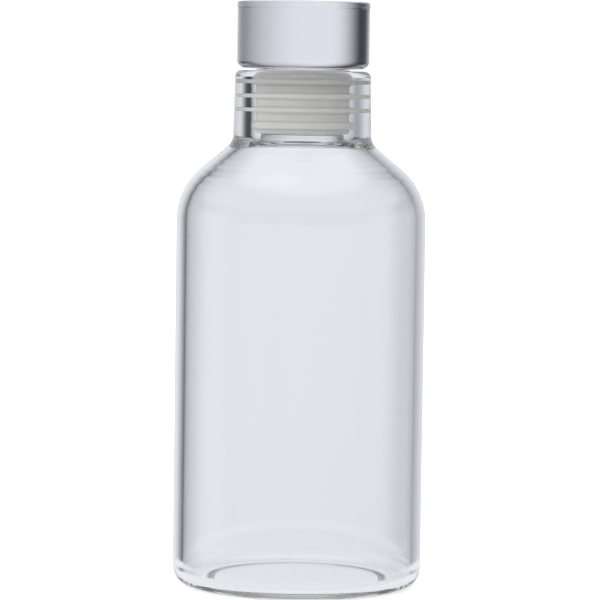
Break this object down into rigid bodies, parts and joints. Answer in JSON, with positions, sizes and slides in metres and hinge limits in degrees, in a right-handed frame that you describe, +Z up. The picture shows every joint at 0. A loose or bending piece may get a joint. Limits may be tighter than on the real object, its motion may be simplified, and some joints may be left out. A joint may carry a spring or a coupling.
{
  "type": "glass water bottle",
  "caption": "Round clear glass water bottle with a sloped shoulder and short neck, closed by a solid glass stopper in a ribbed silicone sleeve.",
  "frame": {"origin": "centre of the flat ring the bottle stands on, at table height", "axes": "+Z up along the bottle's axis, from the base to the stopper's knob; the bottle is round, so +X and +Y are any two level directions"},
  "size_m": [0.078, 0.078, 0.1824],
  "materials": {
    "bottle_glass": "clear, polished, very slightly green in thick edges",
    "seal_silicone": "translucent pale grey silicone, satin",
    "stopper_glass": "clear, polished solid glass"
  },
  "bodies": {
    "bottle": {"bottle": "bottle_glass"},
    "seal": {"seal_sleeve": "seal_silicone"},
    "stopper": {"stopper": "stopper_glass"}
  },
  "joints": [
    {"name": "stopper_lift", "type": "slide", "parent": "bottle", "child": "seal", "axis": [0, 0, 1], "range_m": [0, 0.06]},
    {"name": "stopper_twist", "type": "hinge", "parent": "seal", "child": "stopper", "pos_m": [0, 0, 0.15], "axis": [0, 0, 1], "continuous": true}
  ]
}
